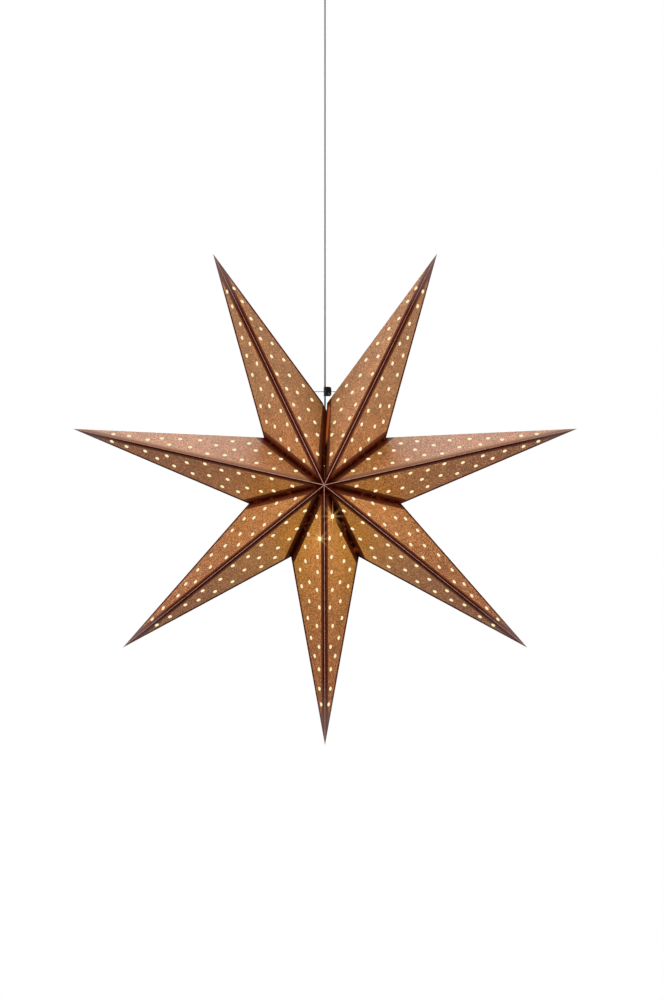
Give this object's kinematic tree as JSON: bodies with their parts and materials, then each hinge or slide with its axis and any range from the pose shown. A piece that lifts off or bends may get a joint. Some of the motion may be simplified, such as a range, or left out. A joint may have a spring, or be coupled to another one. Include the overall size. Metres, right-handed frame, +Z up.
{
  "type": "star pendant light",
  "caption": "Folded card star lantern, pierced with small holes and dusted with glitter, hung with a small lamp inside on a thin cord from a ceiling cup.",
  "frame": {"origin": "centre of the ceiling bracket's top face, on the ceiling", "axes": "+Z up along the cord, the star's face looks along -Y, +X to the right as seen from the front"},
  "size_m": [0.6006, 0.16, 0.97],
  "materials": {
    "star_card": "dark brown card with fine copper glitter panels, warm lit from inside",
    "cup_paint": "satin white paint",
    "steel": "zinc plated",
    "black_plastic": "moulded, satin",
    "nylon": "natural nylon",
    "cord_sheath": "smooth grey sheath",
    "core_sheath": "core insulation",
    "porcelain": "unglazed porcelain",
    "brass": "pressed brass",
    "lamp_metal": "rolled aluminium",
    "lamp_black": "black vitrite",
    "lamp_glass": "clear glass",
    "filament": "phosphor coated, lit"
  },
  "bodies": {
    "ceiling": {"ceiling_bracket": "steel", "ceiling_cup": "cup_paint", "cup_screws": "steel", "terminal_block": "nylon", "terminal_screws": "steel", "block_screw": "steel", "cord_grip": "black_plastic", "grip_nut": "black_plastic", "grip_screw": "nylon", "cord_tail": "cord_sheath", "ceiling_cores": "core_sheath"},
    "cord": {"cord": "cord_sheath"},
    "pendant": {"star_point_1": "star_card", "star_point_2": "star_card", "star_point_3": "star_card", "star_point_4": "star_card", "star_point_5": "star_card", "star_point_6": "star_card", "star_point_7": "star_card", "hanger_wire": "steel", "clip_body": "black_plastic", "clip_plate": "black_plastic", "clip_screw": "steel", "holder_cap": "black_plastic", "cap_screw": "nylon", "holder_body": "black_plastic", "contact_carrier": "porcelain", "centre_contact": "brass", "threaded_shell": "brass", "holder_terminals": "brass", "holder_terminal_screws": "steel", "holder_cores": "core_sheath"},
    "lamp_slide": {"lamp_tip": "lamp_metal"},
    "lamp": {"lamp_cap": "lamp_metal", "lamp_insulator": "lamp_black", "lamp_glass": "lamp_glass", "lamp_stem": "lamp_glass", "filament_post": "steel", "filaments": "filament"}
  },
  "joints": [
    {"name": "pendant_swing", "type": "hinge", "parent": "ceiling", "child": "cord", "pos_m": [0, 0, -0.062], "axis": [0, 1, 0], "range_deg": [-30, 30]},
    {"name": "pendant_turn", "type": "hinge", "parent": "cord", "child": "pendant", "pos_m": [0, 0, -0.632], "axis": [0, 0, 1], "range_deg": [-180, 180]},
    {"name": "lamp_travel", "type": "slide", "parent": "pendant", "child": "lamp_slide", "axis": [0, 0, 1], "range_m": [-0.0085, 0]},
    {"name": "lamp_turn", "type": "hinge", "parent": "lamp_slide", "child": "lamp", "pos_m": [0, 0, -0.662], "axis": [0, 0, 1], "range_deg": [-1080, 0]}
  ],
  "couplings": [
    {"joint": "lamp_travel", "follows": "lamp_turn", "m_per_rad": 0.00044882}
  ]
}
